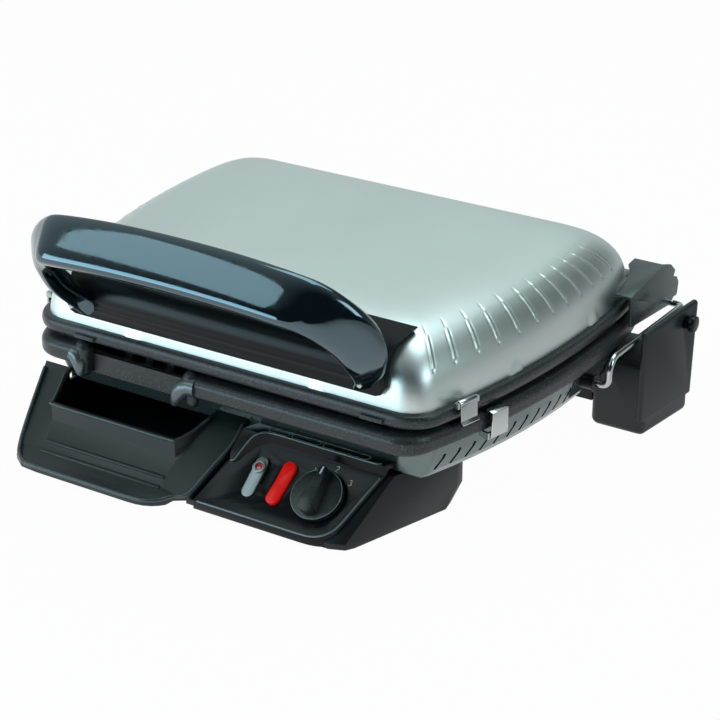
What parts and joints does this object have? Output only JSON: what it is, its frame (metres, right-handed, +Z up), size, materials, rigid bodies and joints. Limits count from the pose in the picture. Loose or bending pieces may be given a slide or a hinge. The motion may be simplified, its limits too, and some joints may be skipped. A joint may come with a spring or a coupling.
{
  "type": "electric indoor grill",
  "caption": "Countertop contact grill with a floating hinged lid, ribbed cooking plates, drip tray, sloped control panel, latching clips and raised rear legs.",
  "frame": {"origin": "centre of the bounding box's bottom face, on the table", "axes": "+Z up, +X to the right as seen by a cook at the front, +Y to the rear; the front with the handle and panel faces -Y"},
  "size_m": [0.383, 0.3149, 0.1716],
  "materials": {
    "lid_steel": "satin pressed stainless sheet with a cool tint",
    "nonstick": "dark speckled non-stick coating on cast aluminium",
    "enamel": "gloss black enamel",
    "housing": "matte dark grey-black moulding",
    "panel_black": "satin black moulding",
    "handle_black": "polished black phenolic",
    "tray_black": "dark charcoal moulding",
    "rocker_red": "bright translucent red",
    "jewel_red": "clear red jewel",
    "silver": "silver painted trim",
    "white": "white inlay",
    "chrome": "bright plated wire and clips",
    "steel": "zinc plated steel",
    "arm_grey": "satin grey coated sheet",
    "rubber": "black rubber",
    "ceramic": "off-white ceramic filled moulding",
    "element": "oxidised tubular element",
    "reflector": "bright rolled sheet"
  },
  "bodies": {
    "base": {"base_housing": "housing", "base_cover": "housing", "front_feet": "rubber", "control_panel": "panel_black", "thermostat_body": "ceramic", "switch_body": "panel_black", "indicator_plate": "silver", "indicator_lens": "jewel_red", "indicator_lamp": "jewel_red", "terminal_block": "ceramic", "thermal_fuse": "steel", "lower_bowl": "enamel", "lower_reflector": "reflector", "lower_element": "element", "lower_plate": "nonstick", "rear_bridge": "housing", "rear_leg_left": "housing", "rear_leg_right": "housing", "leg_pins": "panel_black", "rear_feet": "rubber", "cord_gland": "rubber", "bail_bushes": "housing", "lower_clip_saddles": "steel", "base_screws": "steel"},
    "tray": {"drip_tray": "tray_black"},
    "knob": {"thermostat_shaft": "steel", "thermostat_knob": "panel_black", "knob_marker": "white"},
    "rocker": {"rocker_switch": "rocker_red"},
    "bail": {"bail_wire": "chrome"},
    "bush": {"hinge_bushes": "steel"},
    "lid": {"lid_shell": "lid_steel", "lid_frame": "steel", "upper_reflector": "reflector", "upper_element": "element", "upper_plate": "nonstick", "lid_arm_left": "arm_grey", "lid_arm_right": "arm_grey", "arm_cover_left": "arm_grey", "arm_cover_right": "arm_grey", "handle_mount": "panel_black", "handle": "handle_black", "handle_screws": "steel", "upper_clip_saddles": "steel"},
    "upper_clip_left": {"upper_clip_left": "chrome"},
    "upper_clip_right": {"upper_clip_right": "chrome"},
    "lower_clip_left": {"lower_clip_left": "chrome"},
    "lower_clip_right": {"lower_clip_right": "chrome"}
  },
  "joints": [
    {"name": "tray_slide", "type": "slide", "parent": "base", "child": "tray", "axis": [0, -1, 0], "range_m": [0, 0.1]},
    {"name": "knob_turn", "type": "hinge", "parent": "base", "child": "knob", "pos_m": [0.0715, -0.11319, 0.02258], "axis": [0, -0.6157, 0.788], "range_deg": [-50, 55]},
    {"name": "rocker_tilt", "type": "hinge", "parent": "base", "child": "rocker", "pos_m": [0.0468, -0.11173, 0.02168], "axis": [0.9976, -0.055, -0.0429], "range_deg": [-5, 5]},
    {"name": "bail_lift", "type": "hinge", "parent": "base", "child": "bail", "pos_m": [0, 0.0455, 0.05], "axis": [1, 0, 0], "range_deg": [0, 25]},
    {"name": "lid_level", "type": "hinge", "parent": "bail", "child": "bush", "pos_m": [0, 0.1475, 0.0631], "axis": [1, 0, 0], "range_deg": [-25, 0]},
    {"name": "lid_hinge", "type": "hinge", "parent": "bush", "child": "lid", "pos_m": [0, 0.1475, 0.0631], "axis": [-1, 0, 0], "range_deg": [0, 171]},
    {"name": "upper_clip_left_spring", "type": "hinge", "parent": "lid", "child": "upper_clip_left", "pos_m": [-0.14257, -0.07481, 0.084], "axis": [-0.2555, 0.9668, 0], "range_deg": [0, 15], "stiffness_Nm_per_rad": 0.05},
    {"name": "upper_clip_right_spring", "type": "hinge", "parent": "lid", "child": "upper_clip_right", "pos_m": [0.14257, -0.07481, 0.084], "axis": [-0.2555, -0.9668, 0], "range_deg": [0, 15], "stiffness_Nm_per_rad": 0.05},
    {"name": "lower_clip_left_spring", "type": "hinge", "parent": "base", "child": "lower_clip_left", "pos_m": [-0.14858, -0.0515, 0.0565], "axis": [0.2419, -0.9703, 0], "range_deg": [0, 15], "stiffness_Nm_per_rad": 0.05},
    {"name": "lower_clip_right_spring", "type": "hinge", "parent": "base", "child": "lower_clip_right", "pos_m": [0.14858, -0.0515, 0.0565], "axis": [0.2419, 0.9703, 0], "range_deg": [0, 15], "stiffness_Nm_per_rad": 0.05}
  ],
  "couplings": [
    {"joint": "lid_level", "follows": "bail_lift", "ratio": -1}
  ]
}
